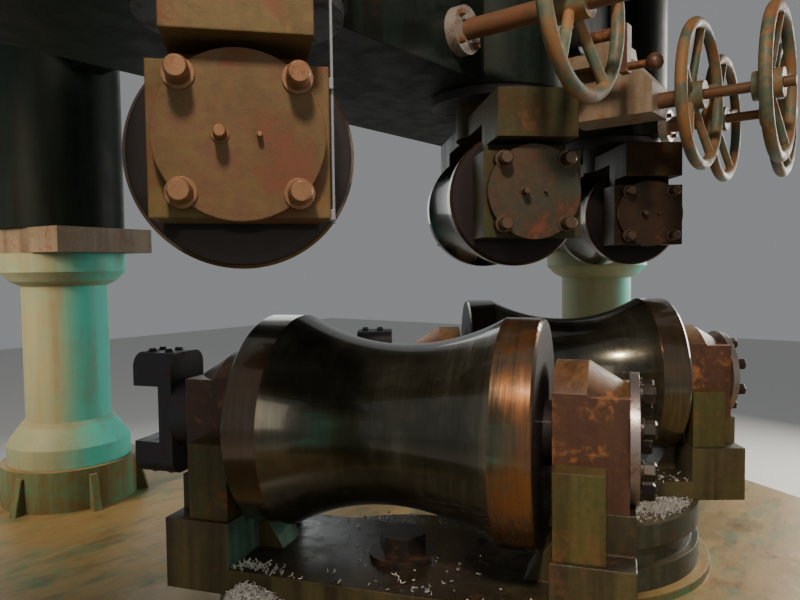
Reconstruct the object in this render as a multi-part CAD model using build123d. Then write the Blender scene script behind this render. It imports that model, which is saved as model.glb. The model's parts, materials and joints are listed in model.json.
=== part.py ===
from build123d import *
import math
import os

os.makedirs("parts", exist_ok=True)

# Five-roll rotary bar straightener, in millimetres. The pass line runs along +X,
# the drive side is +Y, and the floor is Z = 0. The middle upper roll stands over the origin.

# Stations and roll angles
half_pitch = 475.0
front_angle = -70.0
rear_angle = -53.0
entry_angle = -130.0
middle_angle = -136.0
exit_angle = -140.0

# Lower rolls
lower_axis_z = 1214.0
lower_rim_d = 530.0
lower_waist_d = 392.0
lower_roll_length = 700.0
lower_land = 90.0
lower_neck_d = 150.0
lower_neck_back = 6.0
rim_chamfer = 7.0

# Upper rolls
upper_axis_z = 1780.0
upper_rim_d = 360.0
upper_waist_d = 284.0
upper_roll_length = 420.0
upper_land = 45.0
upper_neck_d = 90.0
upper_neck_back = 4.0
upper_bore_gap = 0.1

# Bed
bed_top = 620.0
bed_deck = 110.0
bed_foot = 60.0
bed_foot_lip = 30.0
bed_web_inset = 40.0
bed_rib = 90.0
bed_rib_overrun = 100.0
bed_boss_reach = 335.0
seat_d = 960.0
seat_height = 25.0
column_boss_d = 560.0
column_boss_top = 768.0

# Turntables and cradles
turntable_d = 890.0
turntable_top = 820.0
turntable_rim = 70.0
cradle_plate = 62.0
cradle_width = 400.0
saddle_length = 172.0
gusset_reach = 70.0
gusset_thick = 100.0
pivot_nut_d = 120.0
pivot_nut_height = 46.0
pivot_washer_d = 170.0
pivot_washer = 14.0

# Chocks of the lower rolls
chock_gap = 26.0
chock_length = 158.0
chock_width = 250.0
chock_drop = 135.0
chock_rise = 109.0
barrel_d = 340.0
barrel_nose_d = 236.0
barrel_flat = 72.0
chock_bore_gap = 0.1
keeper_thick = 62.0
keeper_length = 106.0
keeper_inset = 6.0
keeper_top_drop = 37.0
keeper_bottom_drop = 222.0
end_cap_d = 292.0
end_cap = 20.0

# Drive yoke of a lower roll
hub_d = 184.0
hub_length = 74.0
hub_gap = 8.0
hub_wall = 18.0
yoke_height = 325.0
yoke_depth = 150.0
yoke_corner = 37.0
yoke_length = 118.0
yoke_slot = 150.0
yoke_slot_depth = 77.0

# Columns
column_d = 350.0
column_neck_d = 300.0
column_foot_d = 507.0
column_foot_ring = 82.0
column_foot_top = 952.0
collar_d = 505.0
collar_ring = 81.0
collar_bottom = 1555.0
collar_top = 1676.0
column_fit = 1.0
spacer = 104.0
spacer_width = 461.0
spacer_shift = 41.0
nut_d = 500.0
nut_height = 150.0
column_stub = 90.0
exit_column_x = 1687.0
exit_column_y = 368.0
entry_set_out = 263.0
side_column_x = 311.0
side_column_y = 2025.0

# Crown
crown_bottom = 2090.0
crown_top = 2950.0
crown_end = 1280.0
crown_operator_face = -70.0
crown_drive_face = 560.0
crown_boss_d = 400.0
crown_corner = 60.0
arm_bottom = 2600.0
arm_d = 620.0
arm_web = 130.0
arm_web_bottom = 2430.0
arm_root_inset = 330.0
arm_root_y = 245.0
sleeve_d = 512.0

# Upper yokes
stem_d = 240.0
swivel_d = 320.0
swivel_flange_d = 384.0
swivel_flange = 25.0
swivel_top_gap = 60.0
running_fit = 0.05
yoke_width = 246.0
neck_width = 198.0
neck_overhang = 50.0
leg_thick = 118.0
leg_slot = 26.0
leg_slot_depth = 60.0
leg_rise = 102.0
leg_drop = 110.0
roll_side_gap = 26.0
roll_top_gap = 10.0
bridge_top = 2024.0
stem_top = 2880.0
bearing_cap_d = 232.0
bearing_cap = 22.0
cover_d = 430.0
cover_height = 90.0
cover_chamfer = 30.0

# Hand controls
wheel_d = 450.0
wheel_rim_d = 34.0
wheel_hub_d = 84.0
wheel_hub_length = 80.0
wheel_dish = 26.0
spoke_d = 26.0
spoke_count = 5
spoke_sink = 8.0
shaft_d = 50.0
sleeve_wall = 9.0
shaft_tip = 30.0
flange_d = 120.0
flange_thick = 30.0
pad_stand = 8.0
bracket_width = 150.0
bracket_reach = 275.0
bracket_rise = 195.0
bracket_drop = 45.0
bracket_top_reach = 173.0
bracket_lip = 7.0
bracket_lip_drop = 40.0
bracket_seat_rise = 50.0
bracket_pocket = 60.0
bracket_pocket_reach = 105.0
bracket_pocket_start = 15.0
bracket_pocket_low = 45.0
bracket_pocket_high = 125.0

# Hand shafts: place along the pass line, and height
shaft_1 = (-316.0, 2190.0)
shaft_2 = (418.0, 2110.0)
shaft_3 = (900.0, 2122.0)
wheel_plane_1 = -378.0
wheel_plane_2 = -440.0
wheel_plane_3 = -396.0
wheel_plane_4 = -650.0
wheel_plane_5 = -585.0
shaft_1_end = -660.0
crank_shaft = (140.0, 2255.0)
crank_plane = -322.0
crank_drop = 100.0
crank_shaft_d = 34.0
crank_web = 24.0
crank_pin_d = 22.0
crank_pad_d = 80.0
crank_ball_d = 48.0
crank_ball_stand = 16.0
crank_handle = 54.0


def disc(diameter, bottom, top, x=0.0, y=0.0):
    """An upright cylinder between two heights."""
    return Pos(x, y, bottom) * extrude(Circle(diameter / 2), top - bottom)


def block(length, width, bottom, top, x=0.0, y=0.0):
    """An upright box between two heights, centred on x and y."""
    return Pos(x, y, (bottom + top) / 2) * Box(length, width, top - bottom)


def rod(diameter, start, end, z=0.0, y=0.0):
    """A cylinder along X between two stations."""
    middle = (start + end) / 2
    return Pos(middle, y, z) * Rot(0, 90, 0) * Cylinder(diameter / 2, abs(end - start))


def cross_rod(diameter, start, end, x, z):
    """A cylinder along Y between two stations."""
    middle = (start + end) / 2
    return Pos(x, middle, z) * Rot(90, 0, 0) * Cylinder(diameter / 2, abs(end - start))


def link(first, second, first_d, second_d, bottom, top):
    """An upright slab whose outline wraps two circles."""
    circles = Pos(*first) * Circle(first_d / 2) + Pos(*second) * Circle(second_d / 2)
    return Pos(0, 0, bottom) * extrude(make_hull(circles.edges()), top - bottom)


def turned(solid, angle, x=0.0, y=0.0):
    """A piece built along X, turned to its angle to the pass line and set on its station."""
    return Pos(x, y, 0) * Rot(0, 0, angle) * solid


def concave_roll(length, rim_d, waist_d, land, neck_d, low_neck, high_neck, z):
    """A roll with a hollow-ground body between two lands, and a neck at each end."""
    half = length / 2
    rim = rim_d / 2
    waist = waist_d / 2
    neck = neck_d / 2
    inner = half - land
    cut = rim_chamfer
    body = Polyline((-low_neck, 0), (-low_neck, neck), (-half, neck), (-half, rim - cut),
                    (-half + cut, rim), (-inner, rim))
    hollow = ThreePointArc((-inner, rim), (0, waist), (inner, rim))
    rest = Polyline((inner, rim), (half - cut, rim), (half, rim - cut), (half, neck),
                    (high_neck, neck), (high_neck, 0), (-low_neck, 0))
    profile = make_face(body + hollow + rest)
    return Pos(0, 0, z) * revolve(Plane.XZ * profile, Axis.X)


columns = {
    "column_entry": (-exit_column_x - entry_set_out, -exit_column_y),
    "column_drive": (-side_column_x, side_column_y),
    "column_exit": (exit_column_x, exit_column_y),
    "column_operator": (side_column_x, -side_column_y),
}
column_places = list(columns.values())
lower_rolls = {"front": (-half_pitch, front_angle), "rear": (half_pitch, rear_angle)}
upper_rolls = {
    "entry": (-2 * half_pitch, entry_angle),
    "middle": (0.0, middle_angle),
    "exit": (2 * half_pitch, exit_angle),
}


def bed_outline():
    circles = Sketch()
    for x, y in column_places:
        circles += Pos(x, y) * Circle(bed_boss_reach)
    for x, _ in lower_rolls.values():
        circles += Pos(x, 0) * Circle(seat_d / 2 + bed_web_inset / 2)
    return make_hull(circles.edges())


def bed_ribs(outline):
    """Upright ribs that stand out of the bed's recessed walls, along its four long sides."""
    prism = Pos(0, 0, bed_foot) * extrude(outline, bed_top - bed_deck - bed_foot)
    ribs = []
    for index, (x, y) in enumerate(column_places):
        next_x, next_y = column_places[(index + 1) % len(column_places)]
        angle = math.degrees(math.atan2(next_y - y, next_x - x))
        for share in (0.25, 0.5, 0.75):
            place = Pos(x + (next_x - x) * share, y + (next_y - y) * share, 0) * Rot(0, 0, angle)
            span = 2 * (bed_boss_reach + bed_rib_overrun)
            ribs.append(place * block(bed_rib, span, bed_foot, bed_top - bed_deck))
    return [rib & prism for rib in ribs]


def make_bed():
    outline = bed_outline()
    web = offset(outline, -bed_web_inset)
    foot = offset(outline, bed_foot_lip)
    bed = extrude(foot, bed_foot)
    bed += Pos(0, 0, bed_foot) * extrude(web, bed_top - bed_deck - bed_foot)
    bed += Pos(0, 0, bed_top - bed_deck) * extrude(outline, bed_deck - seat_height)
    for x, _ in lower_rolls.values():
        bed += disc(seat_d, bed_top - seat_height, bed_top, x)
    for x, y in column_places:
        bed += disc(column_boss_d, bed_top - seat_height, column_boss_top, x, y)
    for rib in bed_ribs(outline):
        bed += rib
    return bed


def make_column(x, y):
    top = crown_top + nut_height + column_stub
    neck = (column_d - column_neck_d) / 2
    flare = (collar_top - collar_bottom - collar_ring)
    points = [(0, column_boss_top), (column_foot_d / 2, column_boss_top),
              (column_foot_d / 2, column_boss_top + column_foot_ring),
              (column_d / 2 + flare / 2, column_foot_top - flare / 2), (column_d / 2, column_foot_top),
              (column_d / 2, collar_bottom - flare / 2), (column_d / 2 + flare, collar_bottom),
              (collar_d / 2, collar_top - collar_ring), (collar_d / 2, collar_top),
              (column_neck_d / 2, collar_top), (column_neck_d / 2, top - neck),
              (column_neck_d / 2 - neck, top), (0, top), (0, column_boss_top)]
    profile = make_face(Polyline(*points))
    return Pos(x, y, 0) * revolve(Plane.XZ * profile, Axis.Z)


def make_column_nuts():
    nuts = []
    for x, y in column_places:
        hexagon = RegularPolygon(nut_d / 2, 6) - Circle(column_neck_d / 2 + column_fit)
        nuts.append(Pos(x, y, crown_top) * extrude(hexagon, nut_height))
    return nuts


def make_spacers():
    """Slotted plates between the columns' collars and the crown's sleeves."""
    plates = []
    for x, y in column_places:
        angle = math.degrees(math.atan2(-y, -x))
        plate = block(sleeve_d, spacer_width, collar_top, collar_top + spacer, spacer_shift)
        slot_width = column_neck_d + 2 * column_fit
        plate -= disc(slot_width, collar_top, collar_top + spacer)
        plate -= block(sleeve_d, slot_width, collar_top, collar_top + spacer, -sleeve_d / 2)
        plates.append(turned(plate, angle, x, y))
    return plates


def crown_box():
    depth = crown_drive_face - crown_operator_face
    middle = (crown_drive_face + crown_operator_face) / 2
    box = block(2 * crown_end, depth, crown_bottom, crown_top, 0, middle)
    return fillet(box.edges().filter_by(Axis.Z), crown_corner)


def make_crown():
    """A deep beam along the pass line, with a round boss for each upper roll."""
    crown = crown_box()
    for x, _ in upper_rolls.values():
        crown += disc(crown_boss_d, crown_bottom, crown_top, x)
    for (x, z), pad_d in ((shaft_3, flange_d), (crank_shaft, crank_pad_d)):
        pad = cross_rod(pad_d, 0, boss_front(), x, z)
        crown += pad & block(2 * crown_end, 2 * crown_end, crown_bottom, crown_top)
    for x, _ in upper_rolls.values():
        crown -= disc(swivel_d + 2 * running_fit, crown_bottom, crown_top, x)
    return crown


def make_crown_arms():
    """Arms from the crown's faces out to the columns, each a slab over an upright web."""
    box = crown_box()
    for x, _ in upper_rolls.values():
        box += disc(crown_boss_d, crown_bottom, crown_top, x)
    arms = []
    for x, y in column_places:
        reach = crown_end - arm_root_inset
        root = (max(-reach, min(reach, x)), arm_root_y)
        arm = link((x, y), root, arm_d, arm_d, arm_bottom, crown_top)
        arm += link((x, y), root, arm_web, arm_web, arm_web_bottom, arm_bottom)
        arm -= disc(column_neck_d + 2 * column_fit, arm_web_bottom, crown_top, x, y)
        arm -= disc(sleeve_d, arm_web_bottom, arm_bottom, x, y)
        arm -= box
        arms.append(max(arm.solids(), key=lambda one: one.volume))
    return arms


def make_crown_sleeves():
    """Long sleeves round the columns' necks, from the spacers up to the crown's arms."""
    bore = column_neck_d + 2 * column_fit
    bottom = collar_top + spacer
    return [disc(sleeve_d, bottom, arm_bottom, x, y) - disc(bore, bottom, arm_bottom, x, y)
            for x, y in column_places]


def make_stem_covers():
    covers = []
    for x, _ in upper_rolls.values():
        cover = disc(cover_d, crown_top, crown_top + cover_height, x)
        covers.append(chamfer(cover.edges().sort_by(Axis.Z)[-1], cover_chamfer))
    return covers


def make_turntable():
    """A round table with a stepped rim, on the bed's seat."""
    waist = turntable_d - 2 * seat_height
    table = disc(turntable_d, bed_top, bed_top + turntable_rim)
    table += disc(waist, bed_top + turntable_rim, turntable_top - turntable_rim)
    table += disc(turntable_d, turntable_top - turntable_rim, turntable_top)
    return table


def saddle_start():
    return lower_roll_length / 2 + chock_gap


def make_cradle():
    """A saddle with a sunk floor and two pedestals, which carry the chocks."""
    half = saddle_start() + saddle_length
    floor = turntable_top + cradle_plate
    ledge = lower_axis_z - keeper_bottom_drop
    seat = lower_axis_z - chock_drop
    cradle = block(2 * half, cradle_width, turntable_top, floor)
    for side in (-1, 1):
        middle = side * (saddle_start() + saddle_length / 2)
        cradle += block(saddle_length, cradle_width, floor, ledge, middle)
        cradle += block(saddle_length, chock_width, ledge, seat, middle)
        corner = side * saddle_start()
        gusset = Polyline((corner, floor), (corner, ledge), (corner - side * gusset_reach, floor),
                          (corner, floor))
        cradle += extrude(Plane.XZ * make_face(gusset), gusset_thick / 2, both=True)
    return cradle


def make_pivot_nut():
    floor = turntable_top + cradle_plate
    nut = disc(pivot_washer_d, floor, floor + pivot_washer)
    hexagon = RegularPolygon(pivot_nut_d / 2, 6)
    nut += Pos(0, 0, floor + pivot_washer) * extrude(hexagon, pivot_nut_height)
    return nut


def make_chocks():
    """A square bearing block at each end, with a round barrel that tapers to its nose."""
    chocks = []
    start = saddle_start()
    seat = lower_axis_z - chock_drop
    for side in (-1, 1):
        middle = side * (start + chock_length / 2)
        chock = block(chock_length, chock_width, seat, lower_axis_z + chock_rise, middle)
        points = [(side * start, 0), (side * start, barrel_d / 2),
                  (side * (start + barrel_flat), barrel_d / 2),
                  (side * (start + chock_length), barrel_nose_d / 2),
                  (side * (start + chock_length), 0), (side * start, 0)]
        barrel = Pos(0, 0, lower_axis_z) * revolve(Plane.XZ * make_face(Polyline(*points)), Axis.X)
        trim = block(chock_length, chock_width, seat, lower_axis_z + barrel_d, middle)
        chock += barrel & trim
        chock -= rod(lower_neck_d + 2 * chock_bore_gap, side * (start - end_cap),
                     side * (start + chock_length + end_cap), lower_axis_z)
        chocks.append(chock)
    return chocks


def make_keepers():
    """Blocks on the pedestals' ledges, before and behind each chock."""
    keepers = []
    bottom = lower_axis_z - keeper_bottom_drop
    top = lower_axis_z - keeper_top_drop
    for side in (-1, 1):
        x = side * (saddle_start() + keeper_inset + keeper_length / 2)
        for across in (-1, 1):
            y = across * (chock_width + keeper_thick) / 2
            keepers.append(block(keeper_length, keeper_thick, bottom, top, x, y))
    return keepers


def cap_face():
    return saddle_start() + chock_length


def make_end_cap():
    cap = rod(end_cap_d, cap_face(), cap_face() + end_cap, lower_axis_z)
    flat = block(end_cap * 3, end_cap_d, lower_axis_z - end_cap_d, lower_axis_z - chock_drop, cap_face())
    return cap - flat


def hub_start():
    return -(cap_face() + hub_gap)


def neck_end():
    """Where the roll's far neck ends, inside the hub of the drive yoke."""
    return hub_start() - hub_length + hub_wall


def make_drive_yoke():
    """The fork of the drive coupling, keyed on the roll's far neck."""
    hub_end = hub_start() - hub_length
    fork_end = hub_end - yoke_length
    yoke = rod(hub_d, hub_start(), hub_end, lower_axis_z)
    middle = (hub_end + fork_end) / 2
    fork = Pos(middle, 0, lower_axis_z) * Box(yoke_length, yoke_depth, yoke_height)
    fork = fillet(fork.edges().filter_by(Axis.X), yoke_corner)
    slot = Pos(fork_end, 0, lower_axis_z) * Box(2 * yoke_slot_depth, 2 * yoke_depth, yoke_slot)
    yoke += fork - slot
    return yoke - rod(lower_neck_d + 2 * running_fit, hub_start() + hub_gap, neck_end(), lower_axis_z)


def make_lower_roll():
    return concave_roll(lower_roll_length, lower_rim_d, lower_waist_d, lower_land,
                        lower_neck_d, -neck_end(), cap_face() - lower_neck_back, lower_axis_z)


def leg_inner():
    return upper_roll_length / 2 + roll_side_gap


def leg_outer():
    return leg_inner() + leg_thick


def make_upper_yoke():
    """A bridge over the roll with a housing at each end, and a round stem up into the crown."""
    rim_top = upper_axis_z + upper_rim_d / 2 + roll_top_gap
    shoulder = upper_axis_z + leg_rise
    neck_bottom = shoulder + leg_slot
    yoke = block(2 * (leg_outer() + neck_overhang), neck_width, neck_bottom, bridge_top)
    yoke += block(2 * (leg_outer() - leg_slot_depth), neck_width, upper_axis_z, neck_bottom)
    for side in (-1, 1):
        x = side * (leg_inner() + leg_outer()) / 2
        yoke += block(leg_thick, yoke_width, upper_axis_z - leg_drop, shoulder, x)
    yoke -= block(2 * leg_inner(), yoke_width, upper_axis_z - leg_drop, rim_top)
    for side in (-1, 1):
        yoke -= rod(upper_neck_d + 2 * upper_bore_gap, side * leg_inner(), side * leg_outer(), upper_axis_z)
    return yoke + disc(stem_d, rim_top, stem_top)


def make_bearing_caps():
    return [rod(bearing_cap_d, side * leg_outer(), side * (leg_outer() + bearing_cap), upper_axis_z)
            for side in (-1, 1)]


def make_swivel_sleeve():
    bore = stem_d + 2 * running_fit
    sleeve = disc(swivel_flange_d, crown_bottom - swivel_flange, crown_bottom)
    sleeve += disc(swivel_d, crown_bottom, crown_top - swivel_top_gap)
    return sleeve - disc(bore, crown_bottom - swivel_flange, crown_top)


def make_upper_roll():
    neck = leg_outer() - upper_neck_back
    return concave_roll(upper_roll_length, upper_rim_d, upper_waist_d, upper_land,
                        upper_neck_d, neck, neck, upper_axis_z)


def make_handwheel(shaft, plane, inner, outer, outer_d, bore=0.0):
    """A wheel with dished spokes on its shaft, or on a sleeve where it has a bore."""
    x, z = shaft
    wheel = cross_rod(outer_d, inner, outer, x, z)
    wheel += cross_rod(wheel_hub_d, plane + wheel_hub_length / 2, plane - wheel_hub_length / 2, x, z)
    ring_radius = (wheel_d - wheel_rim_d) / 2
    wheel += Pos(x, plane - wheel_dish, z) * Rot(90, 0, 0) * Torus(ring_radius, wheel_rim_d / 2)
    for index in range(spoke_count):
        angle = math.radians(360 * index / spoke_count + 90)
        root = wheel_hub_d / 2 - spoke_sink
        start = Vector(x + root * math.cos(angle), plane, z + root * math.sin(angle))
        end = Vector(x + ring_radius * math.cos(angle), plane - wheel_dish,
                     z + ring_radius * math.sin(angle))
        direction = end - start
        wheel += Plane(origin=start, z_dir=direction) * Cylinder(
            spoke_d / 2, direction.length, align=(Align.CENTER, Align.CENTER, Align.MIN))
    if bore:
        wheel -= cross_rod(bore, inner + wheel_hub_length, outer - wheel_hub_length, x, z)
    return wheel


def sleeve_bore():
    return shaft_d - 2 * sleeve_wall + 2 * running_fit


def make_handwheels():
    """One wheel on a long shaft, and two pairs with a sleeve round a through shaft."""
    tail = wheel_hub_length / 2 + shaft_tip
    flange_face = crown_operator_face - flange_thick
    boss_face = boss_front() - flange_thick
    inner_d = shaft_d - 2 * sleeve_wall
    front_2 = wheel_plane_2 - wheel_hub_length / 2
    front_3 = wheel_plane_3 - wheel_hub_length / 2
    return [
        make_handwheel(shaft_1, wheel_plane_1, flange_face, shaft_1_end, shaft_d),
        make_handwheel(shaft_2, wheel_plane_2, bracket_end(), front_2, shaft_d, sleeve_bore()),
        make_handwheel(shaft_3, wheel_plane_3, boss_face, front_3, shaft_d, sleeve_bore()),
        make_handwheel(shaft_2, wheel_plane_4, bracket_end(), wheel_plane_4 - tail, inner_d),
        make_handwheel(shaft_3, wheel_plane_5, boss_face, wheel_plane_5 - tail, inner_d),
    ]


def bracket_end():
    return crown_operator_face - bracket_reach


def boss_front():
    """The face of the pads on the round bosses, for the third shaft and the crank."""
    return -crown_boss_d / 2 - pad_stand


def make_wheel_bracket():
    """A bracket on the crown's face that slopes down to the seat of the second shaft."""
    x, z = shaft_2
    face = crown_operator_face
    low = z - bracket_drop
    top = z + bracket_rise
    front = face - bracket_top_reach
    points = [(face, low), (face, top), (front, top), (front - bracket_lip, top - bracket_lip_drop),
              (bracket_end(), z + bracket_seat_rise), (bracket_end(), low), (face, low)]
    profile = make_face(Polyline(*points))
    bracket = Pos(x, 0, 0) * extrude(Plane.YZ * profile, bracket_width / 2, both=True)
    middle = face - (bracket_pocket_start + bracket_pocket_reach) / 2
    return bracket - block(2 * bracket_pocket, bracket_pocket_reach - bracket_pocket_start,
                           z + bracket_pocket_low, z + bracket_pocket_high,
                           x - bracket_width / 2, middle)


def make_wheel_flanges():
    flanges = []
    for (x, z), face in ((shaft_1, crown_operator_face), (shaft_3, boss_front())):
        flanges.append(cross_rod(flange_d, face, face - flange_thick, x, z))
    return flanges


def make_crank():
    x, z = crank_shaft
    front = crank_plane - crank_web
    crank = cross_rod(crank_shaft_d, boss_front(), crank_plane, x, z)
    crank += Pos(x, crank_plane - crank_web / 2, z - crank_drop / 2) * Box(
        crank_shaft_d, crank_web, crank_drop + crank_shaft_d)
    crank += cross_rod(crank_pin_d, front, front - crank_handle, x, z - crank_drop)
    ball = front - crank_handle - crank_ball_stand
    crank += Pos(x, ball, z - crank_drop) * Sphere(crank_ball_d / 2)
    return crank


pieces = {
    "bed": make_bed(),
    "column_nuts": make_column_nuts(),
    "crown_spacers": make_spacers(),
    "crown": make_crown(),
    "crown_arms": make_crown_arms(),
    "crown_sleeves": make_crown_sleeves(),
    "stem_covers": make_stem_covers(),
    "wheel_bracket": make_wheel_bracket(),
    "wheel_flanges": make_wheel_flanges(),
    "hand_crank": make_crank(),
}
for name, (x, y) in columns.items():
    pieces[name] = make_column(x, y)

lower_parts = {
    "turntable": make_turntable(),
    "cradle": make_cradle(),
    "pivot_nut": make_pivot_nut(),
    "chocks": make_chocks(),
    "keepers": make_keepers(),
    "end_cap": make_end_cap(),
    "lower_roll": make_lower_roll(),
    "drive_yoke": make_drive_yoke(),
}
for place, (x, angle) in lower_rolls.items():
    for name, solid in lower_parts.items():
        solids = solid if isinstance(solid, list) else [solid]
        pieces[f"{name}_{place}"] = [turned(one, angle, x) for one in solids]

upper_parts = {
    "swivel_sleeve": make_swivel_sleeve(),
    "upper_yoke": make_upper_yoke(),
    "bearing_caps": make_bearing_caps(),
    "upper_roll": make_upper_roll(),
}
for place, (x, angle) in upper_rolls.items():
    for name, solid in upper_parts.items():
        solids = solid if isinstance(solid, list) else [solid]
        pieces[f"{name}_{place}"] = [turned(one, angle, x) for one in solids]

for number, wheel in enumerate(make_handwheels(), 1):
    pieces[f"handwheel_{number}"] = wheel

for name, solid in pieces.items():
    solids = solid if isinstance(solid, list) else [solid]
    shape = solids[0] if len(solids) == 1 else Compound(children=[one for one in solids])
    shape.label = name
    export_step(shape, f"parts/{name}.step")
    print(name, len(solids))
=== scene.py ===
import json
import math
import random

import bmesh
import bpy
from mathutils import Matrix, Vector


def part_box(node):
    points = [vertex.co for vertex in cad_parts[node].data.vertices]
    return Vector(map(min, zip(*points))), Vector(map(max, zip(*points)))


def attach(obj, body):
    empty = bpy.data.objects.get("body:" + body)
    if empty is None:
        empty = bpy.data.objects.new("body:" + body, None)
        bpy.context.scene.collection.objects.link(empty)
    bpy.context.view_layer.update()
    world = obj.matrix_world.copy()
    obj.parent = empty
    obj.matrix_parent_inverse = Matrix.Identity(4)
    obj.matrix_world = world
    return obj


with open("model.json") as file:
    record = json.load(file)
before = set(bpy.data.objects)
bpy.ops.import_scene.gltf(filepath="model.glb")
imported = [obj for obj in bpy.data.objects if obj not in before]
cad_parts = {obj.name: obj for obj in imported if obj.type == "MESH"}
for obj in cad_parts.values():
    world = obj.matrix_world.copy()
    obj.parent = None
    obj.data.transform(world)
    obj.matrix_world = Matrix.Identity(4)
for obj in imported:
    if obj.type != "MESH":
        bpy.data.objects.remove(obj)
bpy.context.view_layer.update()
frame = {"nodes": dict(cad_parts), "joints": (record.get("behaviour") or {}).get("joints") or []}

nodes = frame["nodes"]
joints = {one["name"]: one for one in frame["joints"]}
columnSides = ("entry", "drive", "exit", "operator")
lowerPlaces = ("front", "rear")
upperPlaces = ("entry", "middle", "exit")
print("frame loaded:", len(nodes), "nodes")

# The camera stands on the operator's side, near the entry end, at eye height. Angles are in degrees

photoView = {"place": (-1.79, -1.023, 1.60), "heading": 37.9, "pitch": -2.78, "roll": 0.66, "lens": 30.6,
             "sensor": 36.0, "clip": 60.0}


def addObject(name, data):
    made = bpy.data.objects.new(name, data)
    bpy.context.scene.collection.objects.link(made)
    return made


def aimAlong(direction):
    return direction.to_track_quat("-Z", "Y").to_matrix().to_4x4()


def makeCamera(view):
    data = bpy.data.cameras.new("photoView")
    data.lens = view["lens"]
    data.sensor_width = view["sensor"]
    data.clip_end = view["clip"]
    camera = addObject("photoView", data)
    heading = math.radians(view["heading"])
    pitch = math.radians(view["pitch"])
    forward = Vector((math.cos(heading) * math.cos(pitch), math.sin(heading) * math.cos(pitch),
                      math.sin(pitch)))
    tilt = Matrix.Rotation(math.radians(view["roll"]), 4, forward)
    camera.matrix_world = Matrix.Translation(view["place"]) @ tilt @ aimAlong(forward)
    bpy.context.scene.camera = camera


# A dim hall: one warm lamp, wide windows on the drive side and past the exit, a glow on the drive column
# and a weak fill

room = {"sky": (0.88, 0.90, 0.92), "skyStrength": 0.27, "floor": (0.62, 0.62, 0.60), "floorRoughness": 0.8,
        "floorHalf": 14}
softboxes = {
    "hallLamp": {"place": (-2.4, -1.3, 3.8), "target": (-0.7, 0.1, 1.4), "size": (0.35, 0.35),
                 "power": 95, "tint": (1.0, 0.83, 0.67)},
    "farWindow": {"place": (1.4, 4.8, 2.9), "target": (-0.3, 1.0, 1.3), "size": (4.2, 2.6),
                  "power": 45, "tint": (0.92, 1.0, 0.98)},
    "exitWindow": {"place": (4.8, -1.4, 2.7), "target": (0.2, 0.0, 1.5), "size": (2.6, 2.4),
                   "power": 260, "tint": (1.0, 0.95, 0.86)},
    "wallGlow": {"place": (-2.2, 1.9, 2.3), "target": (-0.3, 2.1, 1.1), "size": (0.9, 0.9),
                 "power": 8, "tint": (1.0, 0.82, 0.60), "spread": 60.0},
    "nearFill": {"place": (-3.4, -3.4, 2.2), "target": (-0.5, 0.0, 1.3), "size": (2.2, 2.2),
                 "power": 26, "tint": (1.0, 0.88, 0.72)}}


def makeSoftbox(name, place, target, size, power, tint, spread=180.0):
    data = bpy.data.lights.new(name, "AREA")
    data.shape = "RECTANGLE"
    data.size, data.size_y = size
    data.energy = power
    data.color = tint
    data.spread = math.radians(spread)
    turned = aimAlong(Vector(target) - Vector(place))
    addObject(name, data).matrix_world = Matrix.Translation(place) @ turned


def makeStudio():
    world = bpy.data.worlds.new("paleRoom")
    bpy.context.scene.world = world
    world.use_nodes = True
    sky = world.node_tree.nodes["Background"]
    sky.inputs["Color"].default_value = shade(room["sky"])
    sky.inputs["Strength"].default_value = room["skyStrength"]
    for name, look in softboxes.items():
        makeSoftbox(name, **look)
    bm = bmesh.new()
    bmesh.ops.create_grid(bm, x_segments=2, y_segments=2, size=room["floorHalf"])
    mesh = bpy.data.meshes.new("paleFloor")
    bm.to_mesh(mesh)
    bm.free()
    finish = Finish("paleFloor")
    finish.surface({"Base Color": shade(room["floor"]), "Roughness": room["floorRoughness"]})
    mesh.materials.append(finish.material)
    addObject("paleFloor", mesh)


# A signal is one shader socket that is added and multiplied like a number


class Signal:
    def __init__(self, finish, socket):
        self.finish = finish
        self.socket = socket

    def join(self, operation, first, second):
        return self.finish.add("ShaderNodeMath", {0: first, 1: second}, operation=operation)

    def __add__(self, other):
        return self.join("ADD", self, other)

    __radd__ = __add__

    def __sub__(self, other):
        return self.join("SUBTRACT", self, other)

    def __rsub__(self, other):
        return self.join("SUBTRACT", other, self)

    def __mul__(self, other):
        return self.join("MULTIPLY", self, other)

    def __truediv__(self, other):
        return self.join("DIVIDE", self, other)

    def __abs__(self):
        return self.finish.add("ShaderNodeMath", {0: self}, operation="ABSOLUTE")

    def root(self):
        return self.finish.add("ShaderNodeMath", {0: self}, operation="SQRT")

    def clipped(self):
        return self.finish.add("ShaderNodeClamp", {"Value": self})

    def between(self, low, high):
        return self.finish.add("ShaderNodeMapRange", {"Value": self, "From Min": low, "From Max": high},
                               interpolation_type="SMOOTHSTEP")


def addNode(tree, kind, values, settings):
    made = tree.nodes.new(kind)
    for key, value in settings.items():
        setattr(made, key, value)
    for key, value in (values or {}).items():
        source = value.socket if isinstance(value, Signal) else value
        if isinstance(source, bpy.types.NodeSocket):
            tree.links.new(source, made.inputs[key])
        else:
            made.inputs[key].default_value = source
    return made


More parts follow.
